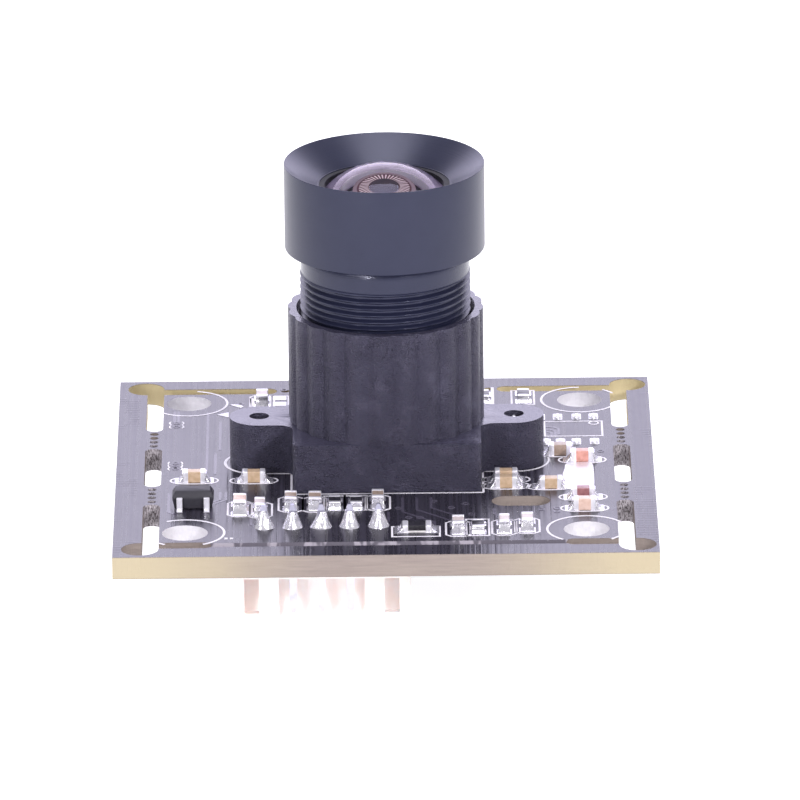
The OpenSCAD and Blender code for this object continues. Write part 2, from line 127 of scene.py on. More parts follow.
class Wire:
    """One output inside a finish. Arithmetic on it adds Math nodes."""

    def __init__(self, finish, socket):
        self.finish = finish
        self.socket = socket

    def maths(self, operation, *others):
        return self.finish.node("ShaderNodeMath", {"operation": operation},
                                dict(enumerate((self, *others))))

    def __add__(self, other):
        return self.maths("ADD", other)

    def __radd__(self, other):
        return self.maths("ADD", other)

    def __sub__(self, other):
        return self.maths("SUBTRACT", other)

    def __rsub__(self, other):
        return self.finish.node("ShaderNodeMath", {"operation": "SUBTRACT"}, {0: other, 1: self})

    def __mul__(self, other):
        return self.maths("MULTIPLY", other)

    def __rmul__(self, other):
        return self.maths("MULTIPLY", other)

    def __abs__(self):
        return self.maths("ABSOLUTE")

    def wrap(self, length):
        return self.maths("WRAP", length, 0.0)

    def above(self, low, high):
        """0 below low, 1 above high, with a smooth step between them."""
        return self.finish.node("ShaderNodeMapRange", {"interpolation_type": "SMOOTHSTEP"},
                                {"Value": self, "From Min": low, "From Max": high})

    def within(self, low, high, soft):
        """1 between low and high, fading to 0 over the soft width outside them."""
        return self.above(low - soft, low) * (1 - self.above(high, high + soft))


class Finish:
    """A material in the making, with one principled shader and Object coordinates in millimetres."""

    def __init__(self, name, **constants):
        self.material = bpy.data.materials.new(name)
        self.material.use_nodes = True
        self.tree = self.material.node_tree
        self.shader = self.tree.nodes["Principled BSDF"]
        for key, value in constants.items():
            self.shader.inputs[key.replace("_", " ")].default_value = value
        spot = self.tree.nodes.new("ShaderNodeTexCoord")
        self.spot = self.node("ShaderNodeVectorMath", {"operation": "SCALE"},
                              {0: Wire(self, spot.outputs["Object"]), 3: 1 / MM})
        self.x, self.y, self.z = self.split(self.spot)
        self.facing = self.split(Wire(self, spot.outputs["Normal"]))

    def node(self, kind, settings=None, values=None, output=0):
        """Adds one node: its settings first, then the values or links of its sockets."""
        made = self.tree.nodes.new(kind)
        for key, value in (settings or {}).items():
            if key == "stops":
                self.fill_ramp(made.color_ramp, value)
            else:
                setattr(made, key, value)
        for key, value in (values or {}).items():
            if isinstance(value, Wire):
                self.tree.links.new(value.socket, made.inputs[key])
            else:
                made.inputs[key].default_value = value
        return Wire(self, made.outputs[output])

    @staticmethod
    def fill_ramp(ramp, stops):
        for stop in stops[2:]:
            ramp.elements.new(stop[0])
        for element, stop in zip(ramp.elements, stops):
            element.position, element.color = stop

    def split(self, vector):
        parts = self.node("ShaderNodeSeparateXYZ", None, {0: vector})
        outputs = parts.socket.node.outputs
        return [Wire(self, outputs[i]) for i in range(3)]

    def stretched(self, x, y, z):
        """Coordinates multiplied by a factor along each axis."""
        return self.node("ShaderNodeVectorMath", {"operation": "MULTIPLY"},
                         {0: self.spot, 1: (x, y, z)})

    def grain(self, scale, detail=2.0, roughness=0.5, vector=None):
        """Noise with the given number of grains to the millimetre."""
        return self.node("ShaderNodeTexNoise", None,
                         {"Vector": vector or self.spot, "Scale": scale,
                          "Detail": detail, "Roughness": roughness})

    def cells(self, scale, vector=None):
        return self.node("ShaderNodeTexVoronoi", None,
                         {"Vector": vector or self.spot, "Scale": scale})

    def blend(self, first, second, share):
        return self.node("ShaderNodeMix", {"data_type": "RGBA"},
                         {0: share, 6: first, 7: second}, 2)

    def ramp(self, value, *stops):
        return self.node("ShaderNodeValToRGB", {"stops": stops}, {0: value})

    def relief(self, height, depth):
        """Bump whose full height is the given depth in millimetres."""
        return self.node("ShaderNodeBump", None, {"Height": height, "Distance": depth * MM})

    def reach(self):
        """Distance from the lens's axis."""
        across, along = self.x - AXIS[0], self.y - AXIS[1]
        return (across * across + along * along).maths("SQRT")

    def feed(self, **inputs):
        for key, wire in inputs.items():
            self.tree.links.new(wire.socket, self.shader.inputs[key.replace("_", " ")])


def tone(red, green, blue):
    return (red, green, blue, 1.0)


def make_board_finish():
    """Gloss black mask on the faces, glass-fibre laminate on every cut wall, tinned mounting holes."""
    f = Finish("board_mask", IOR=1.5)
    upright = abs(f.facing[2])
    flat = upright.above(0.97, 0.99)
    # copper under the mask: fine runs from front to back, uneven in width
    runs = f.grain(1.0, 2.0, 0.6, f.stretched(3.6, 0.015, 1.0)).above(0.4, 0.6)
    lane = 1 - abs(f.x.wrap(0.44) - 0.22).above(0.07, 0.13)
    field = f.grain(0.28).above(0.34, 0.5) * (1 - abs(f.x - AXIS[0]).within(-1, 7.0, 0.4))
    rim = abs(f.x).above(17.3, 17.6)
    copper = runs * 0.7 + lane * 0.5 * (field + rim).above(0.1, 0.9)
    stitch = (1 - abs(f.y.wrap(0.5) - 0.25).above(0.06, 0.12)) * rim * f.grain(0.3).above(0.5, 0.56)
    mask = f.blend(tone(0.020, 0.018, 0.027), tone(0.050, 0.045, 0.068), copper * 0.7 + stitch * 0.6)
    ply = f.grain(1.0, 3.0, 0.6, f.stretched(0.5, 0.5, 7.0))
    resin = f.ramp(ply, (0.3, tone(0.22, 0.18, 0.165)), (0.7, tone(0.27, 0.225, 0.20)))
    # the front edge is paler and yellower towards its ends
    front = 1 - f.y.above(-18.9, -18.8)
    ends = abs(f.x + 3.0 * (f.grain(0.25) - 0.5)).above(4.0, 18.0) * front
    resin = f.blend(resin, tone(0.44, 0.375, 0.245), ends * 0.9)
    # milled corner reliefs and the back slots are smooth and creamy
    milled = f.y.above(8.8, 9.2) * (abs(f.x).above(15.0, 15.3) + f.y.above(15.8, 16.0)).above(0.2, 0.8)
    resin = f.blend(resin, tone(0.62, 0.53, 0.30), milled * 0.8)
    skin = (abs(f.z - BOARD_TOP / 2) - (BOARD_TOP / 2 - 0.06)).above(0.0, 0.03)
    wall = f.blend(resin, tone(0.16, 0.13, 0.12), skin * 0.6)
    # routed ends of the middle slots: dark torn fibres with pale hairs
    routed = (abs(f.x).within(15.4, 17.8, 0.05) * f.y.within(-12.0, 6.5, 0.2)
              * abs(f.facing[1]).above(0.15, 0.5))
    hair = f.grain(1.0, 4.0, 0.75, f.stretched(11.0, 11.0, 4.5)).above(0.40, 0.58)
    torn = f.blend(tone(0.075, 0.060, 0.068), tone(0.60, 0.56, 0.60), hair * 0.85)
    wall = f.blend(wall, torn, routed)
    # scored line along the front: dark, with pale dashes where the fibres show
    scored = upright.within(0.5, 0.93, 0.02) * (1 - f.y.above(-15.9, -15.7))
    dash = f.grain(1.0, 2.0, 0.5, f.stretched(1.1, 0.4, 0.4)).above(0.52, 0.6)
    score = f.blend(tone(0.095, 0.085, 0.110), tone(0.50, 0.46, 0.52), dash * 0.6)
    wall = f.blend(wall, score, scored)
    # PLATED_REACH is the square of the distance from a mounting hole's middle
    aside, ahead = abs(f.x) - HOLE_AT, abs(f.y) - HOLE_AT
    hole = aside * aside + ahead * ahead
    plated = (1 - hole.above(PLATED_REACH, PLATED_REACH + 0.1)) * (1 - flat)
    wall = f.blend(wall, f.blend(tone(0.80, 0.79, 0.82), tone(0.58, 0.56, 0.60), f.grain(2.5, 3.0)), plated)
    grit = f.grain(9.0, 2.0)
    f.feed(Base_Color=f.blend(wall, mask, flat),
           Metallic=plated * 0.35,
           Roughness=0.6 - 0.36 * flat - 0.2 * plated + 0.05 * f.grain(1.5) + copper * flat * 0.05,
           Normal=f.relief(copper * 0.55 + stitch * 0.35 + grit * (0.9 - 0.895 * flat), 0.02))
    return f.material


def make_trace_finish():
    """Copper tracks under the mask, a shade paler than the board."""
    f = Finish("covered_copper", Roughness=0.22, IOR=1.5)
    f.feed(Base_Color=f.blend(tone(0.060, 0.054, 0.080), tone(0.090, 0.080, 0.115), f.grain(2.0)),
           Normal=f.relief(f.grain(6.0), 0.004))
    return f.material


def make_print_finish():
    """White print, a little thin and broken up at its edges."""
    f = Finish("white_print", Roughness=0.5, IOR=1.45)
    thin = f.grain(5.0, 3.0).above(0.5, 0.75)
    f.feed(Base_Color=f.blend(tone(0.86, 0.84, 0.90), tone(0.62, 0.59, 0.68), thin * 0.6),
           Normal=f.relief(f.grain(12.0), 0.006))
    return f.material


def make_holder_finish():
    """Moulded black plastic: spark-eroded grain on the walls, finer on the level faces."""
    f = Finish("holder_black", IOR=1.5)
    f.shader.inputs["Specular Tint"].default_value = tone(0.86, 0.84, 1.0)
    level = abs(f.facing[2]).above(0.7, 0.95)
    pits = f.grain(6.0, 3.0, 0.65, f.stretched(1.0, 1.0, 1.5))
    crust = 1 - f.cells(5.5, f.stretched(1.0, 1.0, 1.4)).above(0.05, 0.5)
    scuff = f.grain(0.5, 4.0, 0.7).above(0.48, 0.7)
    coarse = f.grain(0.35, 2.0).above(0.35, 0.6)
    f.feed(Base_Color=f.blend(tone(0.054, 0.051, 0.082), tone(0.082, 0.078, 0.120), scuff),
           Roughness=0.30 - 0.10 * level + 0.1 * (f.grain(3.0) - 0.5),
           Normal=f.relief((pits + 0.5 * crust * coarse) * (1 - 0.95 * level), 0.30))
    return f.material


def make_anodised_finish():
    """Satin black anodising with the fine rings a lathe leaves."""
    f = Finish("lens_black", IOR=1.5)
    f.shader.inputs["Specular Tint"].default_value = tone(0.80, 0.82, 1.0)
    turned = f.grain(1.0, 3.0, 0.6, f.stretched(0.12, 0.12, 22.0))
    neck = f.z.within(THREAD_TOP + 0.2, LENS_TOP - RING_LENGTH, 0.1)
    f.feed(Base_Color=f.blend(tone(0.012, 0.014, 0.034), tone(0.018, 0.020, 0.044), f.grain(0.6, 3.0)),
           Roughness=0.32 + 0.06 * turned - 0.12 * neck,
           Normal=f.relief(turned + 0.3 * f.grain(14.0), 0.006))
    return f.material


def make_inner_finish():
    """Matt black of spacers and retaining rings."""
    f = Finish("lens_inner_black", IOR=1.45)
    f.feed(Base_Color=f.blend(tone(0.012, 0.012, 0.016), tone(0.026, 0.025, 0.032), f.grain(4.0, 3.0)),
           Roughness=0.55 + 0.1 * f.grain(9.0),
           Normal=f.relief(f.grain(10.0), 0.01))
    return f.material


def add_backing(f, colour, covered):
    """Puts an opaque backing behind the glass where covered is 1."""
    backing = f.tree.nodes.new("ShaderNodeBsdfPrincipled")
    backing.inputs["Roughness"].default_value = 0.5
    f.tree.links.new(colour.socket, backing.inputs["Base Color"])
    mixed = f.node("ShaderNodeMixShader", None,
                   {0: covered, 1: Wire(f, f.shader.outputs[0]), 2: Wire(f, backing.outputs[0])})
    f.tree.links.new(mixed.socket, f.tree.nodes["Material Output"].inputs["Surface"])


def make_glass_finish(name, film, film_index, tint):
    """Polished glass under a thin coating."""
    f = Finish(name, IOR=1.52, Transmission_Weight=1.0)
    f.shader.inputs["Thin Film Thickness"].default_value = film
    f.shader.inputs["Thin Film IOR"].default_value = film_index
    dust = f.grain(7.0, 3.0).above(0.66, 0.8)
    f.feed(Base_Color=f.blend(tint, tone(0.80, 0.78, 0.86), dust * 0.3),
           Roughness=0.012 + 0.04 * dust)
    return f


def make_inner_glass():
    """Coated element whose ground edge is painted black."""
    f = make_glass_finish("coated_inner_glass", 104.0, 1.38, tone(0.95, 0.92, 0.97))
    paint = f.blend(tone(0.010, 0.009, 0.013), tone(0.022, 0.018, 0.024), f.grain(2.0))
    add_backing(f, paint, f.reach().above(2.9, 2.92))
    return f.material


def make_front_glass():
    """Coated front element. Behind it, painted on an opaque backing: a dark pupil of painted shade, a ring of
    fine pale ticks and a red-brown band that are painted reflections of the inner thread, and a hazed lilac
    rim of painted reflection with a near-white painted highlight at its edge.
    """
    f = make_glass_finish("coated_front_glass", 118.0, 1.38, tone(0.97, 0.93, 0.98))
    reach = f.reach()
    # Painted light on the backing: a dark pupil of painted shade where the lens's inside is dark, then a
    # red-brown band, a ring of pale ticks and a mauve band, all painted reflections from inside the lens.
    turn = (f.y - AXIS[1]).maths("ARCTAN2", f.x - AXIS[0]) * (THREAD_GLINT_COUNT / TAU)
    thread_glints = (1 - abs(turn.wrap(1.0) - 0.5).above(0.16, 0.26)) * reach.within(0.86, 1.34, 0.03)
    painted_inner_disc = f.blend(tone(0.018, 0.008, 0.016), tone(0.10, 0.035, 0.045), reach.above(0.72, 0.9))
    painted_inner_disc = f.blend(painted_inner_disc, tone(0.95, 0.80, 0.82), thread_glints)
    painted_inner_disc = f.blend(painted_inner_disc, tone(0.34, 0.25, 0.29), reach.above(1.42, 1.5))
    # The lilac rim is a painted reflection with streaks in it. Beyond a reach of 4.2 mm it turns near-white, a
    # painted highlight standing in for the bright crescent the glass reflects.
    streak = f.grain(0.7, 3.0, 0.6).above(0.4, 0.62)
    rim = f.blend(tone(0.30, 0.25, 0.38), tone(0.52, 0.45, 0.62), streak)
    rim = f.blend(rim, tone(0.95, 0.93, 0.98), reach.above(4.2, 4.3))
    below = 1 - f.z.above(FRONT_RIM, FRONT_RIM + 0.02)
    rear = 1 - f.z.above(REAR_CROWN + 0.02, REAR_CROWN + 0.1)
    covered = (reach.above(2.4, 2.45) * below + (1 - reach.above(1.66, 1.7)) * rear).above(0.3, 0.7)
    add_backing(f, f.blend(painted_inner_disc, rim, reach.above(2.0, 2.1)), covered)
    return f.material


def make_sensor_finish():
    """Dark fired package of the image sensor."""
    f = Finish("sensor_ceramic", IOR=1.5)
    f.feed(Base_Color=f.blend(tone(0.045, 0.045, 0.05), tone(0.075, 0.074, 0.08), f.grain(5.0, 3.0)),
           Roughness=0.5 + 0.1 * f.grain(3.0),
           Normal=f.relief(f.grain(12.0), 0.008))
    return f.material


def make_nylon_finish():
    """Natural nylon, faintly mottled, a little translucent."""
    f = Finish("header_nylon", IOR=1.5, Subsurface_Weight=0.3, Subsurface_Scale=0.0008)
    f.shader.inputs["Subsurface Radius"].default_value = (1.0, 0.6, 0.5)
    flow = f.grain(0.8, 3.0, 0.6, f.stretched(1.0, 1.0, 0.45))
    f.feed(Base_Color=f.blend(tone(0.95, 0.89, 0.87), tone(0.93, 0.83, 0.79), flow.above(0.4, 0.65)),
           Roughness=0.40 + 0.12 * f.grain(2.5),
           Normal=f.relief(f.grain(5.0, 3.0), 0.010))
    return f.material


def make_metal_finish(name, base, dull, rough, ripple, metal=1.0):
    """Plated or flowed metal with soft ripples and a dulled patch here and there."""
    f = Finish(name, Metallic=metal)
    haze = f.grain(1.6, 4.0, 0.6)
    f.feed(Base_Color=f.blend(base, dull, haze.above(0.45, 0.75)),
           Roughness=rough + 0.14 * haze,
           Normal=f.relief(f.grain(3.2, 2.0), ripple))
    return f.material


def make_ceramic_finish(name, base, deep):
    """Fired ceramic of one chip size, paler where the light grazes its grain."""
    f = Finish(name, IOR=1.5)
    f.feed(Base_Color=f.blend(base, deep, f.grain(3.0, 3.0).above(0.35, 0.7)),
           Roughness=0.22 + 0.16 * f.grain(6.0),
           Normal=f.relief(f.grain(9.0), 0.006))
    return f.material


def make_moulding_finish():
    """Epoxy moulding compound of the chip bodies."""
    f = Finish("chip_black", IOR=1.5)
    f.feed(Base_Color=f.blend(tone(0.020, 0.019, 0.027), tone(0.034, 0.032, 0.044), f.grain(6.0, 3.0)),
           Roughness=0.46 + 0.14 * f.grain(4.0),
           Normal=f.relief(f.grain(15.0, 2.0), 0.012))
    return f.material


def make_floor_finish():
    """Pale studio floor that glows a little, so that shadows on it stay faint."""
    f = Finish("pale_floor", Roughness=0.9)
    f.feed(Base_Color=f.blend(tone(0.70, 0.70, 0.70), tone(0.73, 0.73, 0.73), f.grain(0.01)))
    f.shader.inputs["Emission Color"].default_value = tone(1.0, 1.0, 1.0)
    f.shader.inputs["Emission Strength"].default_value = 0.85
    return f.material


# ---------------------------------------------------------------- shapes


def loft(rings, looped=False, capped=True):
    """Joins equal rings of points, each anticlockwise about its way forward, into one closed skin."""
    rings = np.asarray(rings, float)
    levels, around = rings.shape[:2]
    level = np.arange(levels if looped else levels - 1)[:, None]
    step = np.arange(around)[None, :]
    here = level * around + step
    beside = level * around + (step + 1) % around
    above = (level + 1) % levels * around
    faces = np.stack([here, beside, above + (step + 1) % around, above + step], -1)
    faces = faces.reshape(-1, 4).tolist()
    if capped and not looped:
        faces.append(list(range(around))[::-1])
        faces.append(list(range((levels - 1) * around, levels * around)))
    return rings.reshape(-1, 3), faces


def shaped(skin, turn=0.0, place=(0, 0, 0)):
    """Turns a skin about Z and sets it in place."""
    points, faces = skin
    c, s = math.cos(math.radians(turn)), math.sin(math.radians(turn))
    spin = np.array(((c, -s, 0), (s, c, 0), (0, 0, 1)))
    return points @ spin.T + np.asarray(place, float), faces


def gather(skins):
    """Puts several skins into one list of points and faces, and says which skin each face is from."""
    points, faces, source, start = [], [], [], 0
    for number, (skin_points, skin_faces) in enumerate(skins):
        points.append(skin_points)
        faces += [[start + i for i in face] for face in skin_faces]
        source += [number] * len(skin_faces)
        start += len(skin_points)
    return np.concatenate(points), faces, source


def make_piece(name, skins, finishes, body, replaces=(), tones=None, crease=40.0):
    """Writes skins into one mesh at the origin. tones gives each skin's place among the finishes."""
    points, faces, source = gather(skins)
    mesh = bpy.data.meshes.new(name)
    mesh.from_pydata((points * MM).tolist(), [], faces)
    for finish in finishes:
        mesh.materials.append(finish)
    if tones:
        mesh.polygons.foreach_set("material_index", np.array(tones)[source])
    mesh.polygons.foreach_set("use_smooth", np.ones(len(faces), bool))
    mesh.set_sharp_from_angle(angle=math.radians(crease))
    piece = bpy.data.objects.new(name, mesh)
    bpy.context.scene.collection.objects.link(piece)
    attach(piece, body)
    if replaces:
        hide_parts(*replaces)
    return piece


def soft_rectangle(length, width, radius, steps=4):
    """Outline of a rectangle with quarter-circle corners, anticlockwise from its right-hand side."""
    turn = np.linspace(0, math.pi / 2, steps + 1)
    quarter = np.stack([np.cos(turn), np.sin(turn)], 1) * radius
    points = []
    for i, (sx, sy) in enumerate(((1, 1), (-1, 1), (-1, -1), (1, -1))):
        c, s = math.cos(i * math.pi / 2), math.sin(i * math.pi / 2)
        swung = quarter @ np.array(((c, s), (-s, c)))
        points.append(swung + (sx * (length / 2 - radius), sy * (width / 2 - radius)))
    return np.concatenate(points)


def stacked(levels, steps=4):
    """Closed skin through rounded rectangles: length, width, corner radius, height, and shift in X."""
    rings = []
    for length, width, radius, height, *shift in levels:
        flat = soft_rectangle(length, width, min(radius, length / 2.01, width / 2.01), steps)
        flat[:, 0] += shift[0] if shift else 0.0
        rings.append(np.column_stack([flat, np.full(len(flat), height)]))
    return loft(rings)


def cushioned(length, width, low, high, edge, corner, steps=3):
    """Block whose upper edge follows a quarter circle of the edge radius."""
    turn = np.linspace(0, math.pi / 2, steps + 1)
    inset, rise = edge * (1 - np.cos(turn)), edge * np.sin(turn)
    top = [(length - 2 * i, width - 2 * i, max(corner - i, 0.01), high - edge + r)
           for i, r in zip(inset, rise)]
    return stacked([(length, width, corner, low), *top], steps)


def ribbon(path, width, low, high, looped=False):
    """Flat strip along a path: each point steps aside along the mitre of the runs that meet there."""
    path = np.asarray(path, float)
    if looped:
        ahead, behind = np.roll(path, -1, 0) - path, path - np.roll(path, 1, 0)
    else:
        run = np.diff(path, axis=0)
        ahead, behind = np.vstack([run, run[-1:]]), np.vstack([run[:1], run])
    ahead /= np.linalg.norm(ahead, axis=1)[:, None]
    behind /= np.linalg.norm(behind, axis=1)[:, None]
    way = ahead + behind
    way /= np.linalg.norm(way, axis=1)[:, None]
    reach = width / 2 / np.clip((way * ahead).sum(1), 0.5, 1)
    side = np.stack([-way[:, 1], way[:, 0]], 1) * reach[:, None]
    left, right = path + side, path - side
    bottom, top = np.full(len(path), low), np.full(len(path), high)
    rings = np.stack([np.column_stack([left, top]), np.column_stack([right, top]),
                      np.column_stack([right, bottom]), np.column_stack([left, bottom])], 1)
    return loft(rings, looped)


def arc(centre, radius, start, end, steps=None):
    """Points along a circle from one angle to another, in degrees."""
    steps = steps or max(4, int(abs(end - start) / 7.5))
    turn = np.radians(np.linspace(start, end, steps + 1))
    return np.stack([centre[0] + radius * np.cos(turn), centre[1] + radius * np.sin(turn)], 1)


def lathe(profile, around, centre, swing=None):
    """Turns a closed profile of radius and height about a vertical axis. swing adds to each radius."""
    radius, height = np.asarray(profile, float).T
    angle = np.arange(around) / around * TAU
    reach = np.repeat(radius[:, None], around, 1)
    if swing is not None:
        reach = reach + swing(radius[:, None], height[:, None], angle[None, :])
    rings = np.stack([centre[0] + reach * np.cos(angle), centre[1] + reach * np.sin(angle),
                      np.repeat(height[:, None], around, 1)], -1)
    return loft(rings, looped=True)


def dome(centre, reach_x, reach_y, low, high, around=20, levels=5):
    """Drop of solder: its outline shrinks along a quarter ellipse as it rises."""
    turn = np.linspace(0, math.pi / 2, levels + 1)[:-1]
    angle = np.arange(around) / around * TAU
    rings = [np.column_stack([centre[0] + reach_x * math.cos(t) * np.cos(angle),
                              centre[1] + reach_y * math.cos(t) * np.sin(angle),
                              np.full(around, low + (high - low) * math.sin(t))]) for t in turn]
    rings.append(rings[-1] * 0.02 + np.array((centre[0], centre[1], high)) * 0.98)
    return loft(rings)


# ---------------------------------------------------------------- lens

THREAD_PITCH = 0.5
THREAD_DEPTH = 0.3
THREAD_CREST = 6.0
NECK = 5.94
RING_LENGTH = 6.15
THREAD_TOP = BOARD_TOP + 14.33
THREAD_SHOWS = BOARD_TOP + 8.4
THREAD_FOOT = barrel_low[2] + 0.45


def thread_cut(radius, height, angle):
    """Depth below the crest: a V with a flat crest and root that climbs one pitch a turn."""
    phase = np.mod(height / THREAD_PITCH - angle / TAU, 1.0)
    groove = np.clip((0.43 - np.abs(phase - 0.5)) / 0.31, 0, 1)
    ends = np.clip((height - THREAD_FOOT) / 0.3, 0, 1) * np.clip((THREAD_TOP - height) / 0.12, 0, 1)
    outside = np.abs(radius - THREAD_CREST) < 0.02
    return -THREAD_DEPTH * groove * ends * outside


def rounded_corner(corner, start, end, radius, steps=4):
    """Points that cut a corner of a profile with a smooth curve between its two sides."""
    corner, start, end = (np.asarray(p, float) for p in (corner, start, end))
    first = corner + (start - corner) / np.linalg.norm(start - corner) * radius
    last = corner + (end - corner) / np.linalg.norm(end - corner) * radius
    t = np.linspace(0, 1, steps + 1)[:, None]
    return (1 - t) ** 2 * first + 2 * t * (1 - t) * corner + t ** 2 * last


def eased(profile, radii):
    """A closed profile with each corner eased by its own radius."""
    count = len(profile)
    rows = []
    for i, radius in enumerate(radii):
        if radius:
            rows.append(rounded_corner(profile[i], profile[i - 1], profile[(i + 1) % count], radius))
        else:
            rows.append(np.asarray([profile[i]], float))
    return np.concatenate(rows)


def make_lens_barrel(black):
    """Turned lens barrel: thread, neck, front ring and hood, as one closed profile about the axis."""
    foot, top = barrel_low[2], LENS_TOP
    ring = (barrel_high[0] - barrel_low[0]) / 2
    ring_foot = top - RING_LENGTH
    rows = np.concatenate([np.arange(THREAD_FOOT, THREAD_SHOWS, THREAD_PITCH / 8),
                           np.arange(THREAD_SHOWS, THREAD_TOP - 0.02, THREAD_PITCH / 16)])
    thread = np.column_stack([np.full(len(rows), THREAD_CREST), rows])
    lower = [(4.4, foot), (THREAD_CREST - 0.45, foot)]
    # the neck rolls in to the ring along a quarter ellipse
    t = np.linspace(0, math.pi / 2, 12)
    shoulder = np.column_stack([NECK - 0.35 * (1 - np.cos(t)), ring_foot - 0.9 + 0.82 * np.sin(t)])
    neck = [(THREAD_CREST, THREAD_TOP - 0.01), (NECK, THREAD_TOP + 0.05), (NECK, THREAD_TOP + 0.4)]
    upper = [(NECK - 0.35, ring_foot), (ring, ring_foot), (ring, top), (4.7, top - 1.6), (4.6, top - 1.6),
             (4.6, BOARD_TOP + 18.4), (3.1, BOARD_TOP + 18.4), (3.1, BOARD_TOP + 17.0),
             (3.6, BOARD_TOP + 17.0), (3.6, BOARD_TOP + 9.6), (4.4, BOARD_TOP + 9.6)]
    eases = [0, 0.09, 0.08, 0, 0, 0, 0.05, 0.05, 0, 0, 0]
    closing = eased([*upper, lower[0]], [*eases, 0])[:-1]
    profile = np.concatenate([lower, thread, neck, shoulder, closing])
    skin = lathe(profile, 160, AXIS, thread_cut)
    make_piece("turned_lens_barrel", [skin], [black], "lens", ["lens_barrel"], crease=32)


def softened(node, name, finish, body, width, limit=35.0):
    """A merged copy of a CAD node with a small round along each of its sharp edges."""
    form = bmesh.new()
    form.from_mesh(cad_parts[node].data)
    bmesh.ops.remove_doubles(form, verts=form.verts, dist=2e-6)
    bmesh.ops.dissolve_limit(form, angle_limit=math.radians(0.6), verts=form.verts, edges=form.edges)
    mesh = bpy.data.meshes.new(name)
    form.to_mesh(mesh)
    form.free()
    mesh.materials.clear()
    mesh.materials.append(finish)
    mesh.polygons.foreach_set("use_smooth", np.ones(len(mesh.polygons), bool))
    mesh.set_sharp_from_angle(angle=math.radians(limit))
    piece = bpy.data.objects.new(name, mesh)
    bpy.context.scene.collection.objects.link(piece)
    bevel = piece.modifiers.new("edge_round", "BEVEL")
    bevel.width = width * MM
    bevel.segments = 2
    bevel.limit_method = "ANGLE"
    bevel.angle_limit = math.radians(limit)
    bevel.harden_normals = True
    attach(piece, body)
    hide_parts(node)


# ---------------------------------------------------------------- print, copper and solder

PRINT_LOW = BOARD_TOP - 0.005
PRINT_HIGH = BOARD_TOP + 0.018
COPPER_HIGH = BOARD_TOP + 0.012


def printed(path, width=0.15, looped=False):
    """Line of white print along a path."""
    return ribbon(path, width, PRINT_LOW, PRINT_HIGH, looped)


def long_outline(centre):
    """Print round a chip that lies along X: an oval at each end and a line along each side."""
    turn = np.linspace(0, TAU, 24, endpoint=False)
    oval = np.column_stack([0.42 * np.cos(turn), 0.5 * np.sin(turn)])
    strips = [printed(oval + (centre[0] + side * 1.25, centre[1]), 0.13, True) for side in (-1, 1)]
    t = np.linspace(-1, 1, 13)
    for side in (-1, 1):
        line = np.column_stack([t * 1.3, side * (0.68 - 0.16 * np.abs(t) ** 5)])
        strips.append(printed(line + centre, 0.14))
    return strips


def upright_outline(centre, closed):
    """Print round a chip that lies along Y: a bracket on each side, joined in front if closed."""
    strips = []
    for side in (-1, 1):
        path = np.array(((0.45, 1.62), (0.85, 1.25), (0.85, -1.25), (0.45, -1.62)) * np.array((side, 1)))
        strips.append(printed(path + centre, 0.14))
    if closed:
        strips.append(printed(np.array(((-0.45, -1.62), (0.45, -1.62))) + centre, 0.14))
    return strips


def make_print(white):
    """All white print on the board's top, as flat strips."""
    skins = []
    breaks = {(-1, 1): ((-145, 78),), (1, 1): ((-35, -270), (52, 30)),
              (-1, -1): ((-62, 118), (-140, -120)), (1, -1): ((28, 232), (-52, -30))}
    for (sx, sy), spans in breaks.items():
        for start, end in spans:
            skins.append(printed(arc((sx * HOLE_AT, sy * HOLE_AT), 2.75, start, end), 0.17))
    for number in range(1, 19):
        low, high = corners(f"capacitor_{number}")
        centre = (low[:2] + high[:2]) / 2
        if high[0] - low[0] > high[1] - low[1]:
            skins += long_outline(centre)
        else:
            skins += upright_outline(centre, centre[1] < -6.0)
    boxes = ((-4.3, -2.85, -9.5, -6.5), (-2.85, -1.3, -9.5, -6.5), (0.44, 3.76, -15.25, -13.15),
             (5.62, 7.2, -15.2, -11.75), (9.14, 10.75, 13.0, 16.12), (-8.16, -6.86, 13.0, 15.5),
             (11.4, 15.5, 5.95, 9.2))
    for x0, x1, y0, y1 in boxes:
        skins.append(printed(((x0, y0), (x1, y0), (x1, y1), (x0, y1)), 0.14, True))
    skins.append(printed(arc((14.92, 8.78), 0.33, 0, 352), 0.12, True))
    # outline of the holder: its front, the fillets and a collar round each ear
    middle, reach = AXIS, 6.75
    ear = 9.0
    for side in (-1, 1):
        centre = (middle[0] + side * ear, middle[1])
        start, end = (180 + 75, 180 - 75) if side < 0 else (-75, 75)
        skins.append(printed(arc(centre, 2.45, start, end), 0.2 if side < 0 else 0.15))
        inner = middle[0] + side * reach
        near = centre[0] + 2.45 * math.cos(math.radians(start))
        low_y = middle[1] - 2.45 * math.sin(math.radians(75))
        skins.append(printed(((near, low_y), (inner, low_y - 0.05), (inner, middle[1] - 6.85))))
    skins.append(printed(((middle[0] - reach, middle[1] - 6.9), (middle[0] + reach, middle[1] - 6.9)), 0.16))
    for y in (9.66, 8.86, 0.9, 0.38, -0.28):
        for side in (-1, 1):
            turn = 0 if side > 0 else 180
            skins.append(printed(arc((-14.83, y), 0.5, turn - 38, turn + 38, 6), 0.1))
    for spot in ((-11.23, -15.25), (-10.85, -15.25)):
        skins.append(printed((spot, (spot[0] + 0.22, spot[1])), 0.3))
    skins.append(printed(((-9.5, 15.0), (-9.4, 13.2)), 0.3))
    skins.append(printed(((7.78, 16.9), (7.78, 13.0)), 0.22))
    make_piece("white_print", skins, [white], "board")


